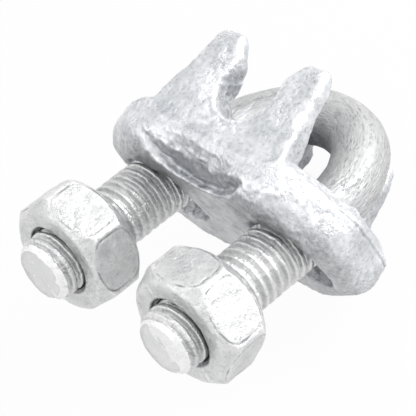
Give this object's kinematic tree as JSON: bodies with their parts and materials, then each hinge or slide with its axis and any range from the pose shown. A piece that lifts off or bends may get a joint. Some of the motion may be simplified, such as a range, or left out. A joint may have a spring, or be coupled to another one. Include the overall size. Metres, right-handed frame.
{
  "type": "wire rope clip",
  "caption": "Forged wire rope clip: a horned saddle rides on a threaded U-bolt, and a heavy hexagon nut on each leg draws the bow down to clamp a rope in the saddle's seat",
  "frame": {"origin": "the centre of the rope seat, on the axis of the seated rope, halfway along the saddle", "axes": "+Z runs along the rope, +X points from the saddle towards the bow of the U-bolt, and the two legs lie at +Y (left) and -Y (right). The U-bolt and its nuts lean 24 degrees about Y, as the loose clip lies in the picture"},
  "size_m": [0.0658, 0.0578, 0.0449],
  "materials": {
    "forged_zinc": "hot-dip galvanised drop forging",
    "bar_zinc": "hot-dip galvanised bar with rolled threads",
    "nut_zinc": "hot-dip galvanised"
  },
  "bodies": {
    "saddle": {"saddle": "forged_zinc"},
    "u_bolt": {"u_bolt": "bar_zinc"},
    "nut_left": {"nut_left": "nut_zinc"},
    "nut_right": {"nut_right": "nut_zinc"}
  },
  "joints": [
    {"name": "u_bolt_rock", "type": "hinge", "parent": "saddle", "child": "u_bolt", "pos_m": [-0.01125, 0, 0], "axis": [0, -1, 0], "range_deg": [0, 48]},
    {"name": "nut_left_travel", "type": "slide", "parent": "u_bolt", "child": "nut_left", "axis": [0.9135, 0, -0.4067], "range_m": [-0.0044, 0.0102]},
    {"name": "nut_right_travel", "type": "slide", "parent": "u_bolt", "child": "nut_right", "axis": [0.9135, 0, -0.4067], "range_m": [-0.0044, 0.0102]}
  ]
}
